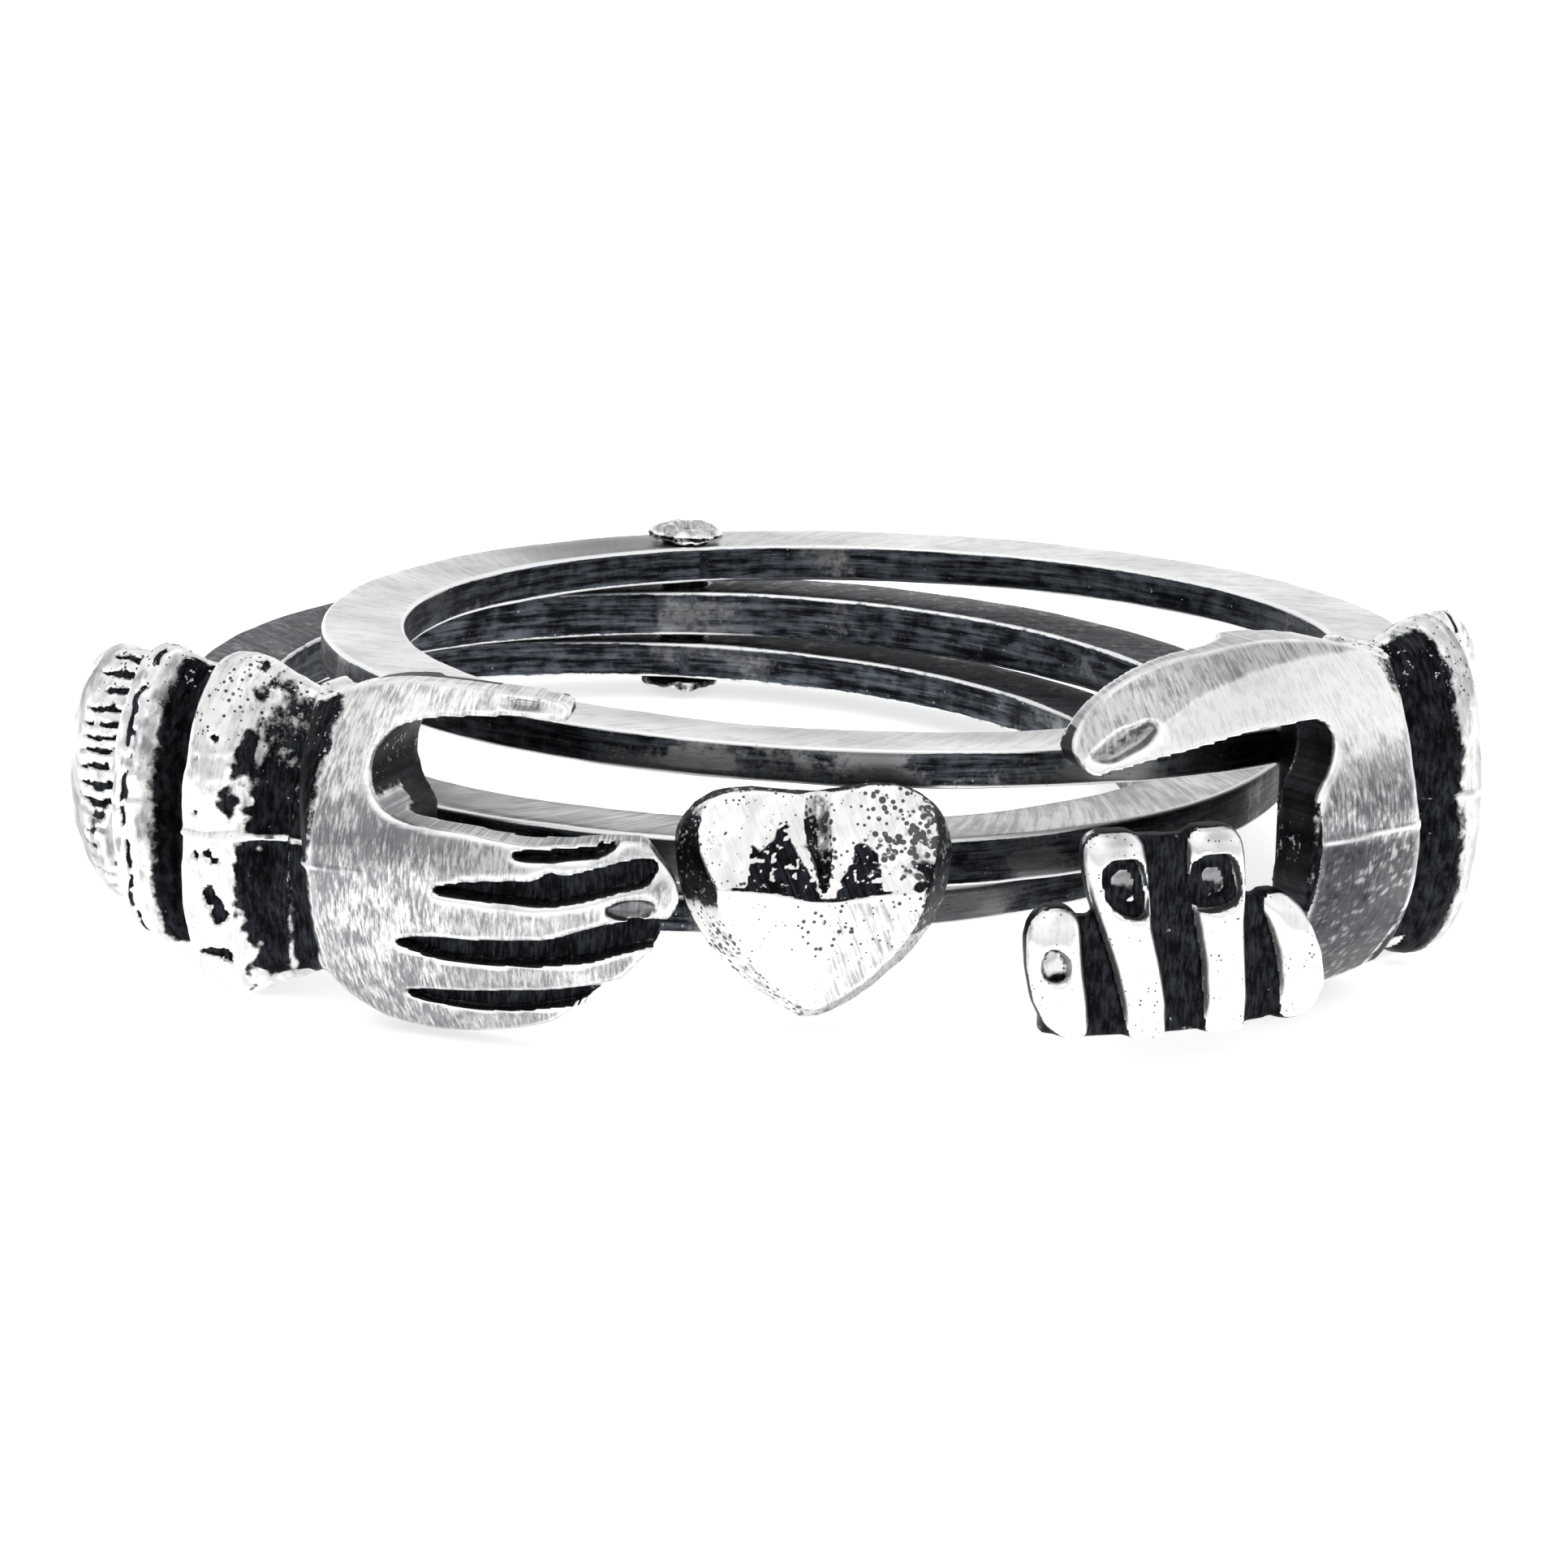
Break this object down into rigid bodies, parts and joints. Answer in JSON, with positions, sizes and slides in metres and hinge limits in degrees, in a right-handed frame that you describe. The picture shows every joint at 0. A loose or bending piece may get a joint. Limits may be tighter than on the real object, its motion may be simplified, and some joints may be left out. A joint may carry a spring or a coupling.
{
  "type": "claddagh ring",
  "caption": "Claddagh finger ring of three hoops on one rivet, with two hands that close over a heart.",
  "frame": {"origin": "centre of the middle hoop's finger hole, at half that hoop's height", "axes": "+Z along the finger, -Y towards the heart, +Y towards the rivet, +X towards the hand with the curled fingers"},
  "size_m": [0.027, 0.0249, 0.0075],
  "materials": {
    "right_hand_silver": "cast sterling silver, oxidised in the recesses and brushed on the hand",
    "heart_silver": "cast sterling silver, oxidised hoop sides, mirror-polished heart",
    "left_hand_silver": "cast sterling silver, oxidised in the recesses and brushed on the hand",
    "rivet_silver": "silver pin, both heads hammered over"
  },
  "bodies": {
    "middle_hoop": {"heart_hoop": "heart_silver", "rivet": "rivet_silver"},
    "right_hand": {"right_hand_hoop": "right_hand_silver"},
    "left_hand": {"left_hand_hoop": "left_hand_silver"}
  },
  "joints": [
    {"name": "right_hand_swing", "type": "hinge", "parent": "middle_hoop", "child": "right_hand", "pos_m": [0, 0.0098, 0], "axis": [0, 0, 1], "range_deg": [-15, 75]},
    {"name": "left_hand_swing", "type": "hinge", "parent": "middle_hoop", "child": "left_hand", "pos_m": [0, 0.0098, 0], "axis": [0, 0, -1], "range_deg": [-8.7, 81.3]}
  ]
}
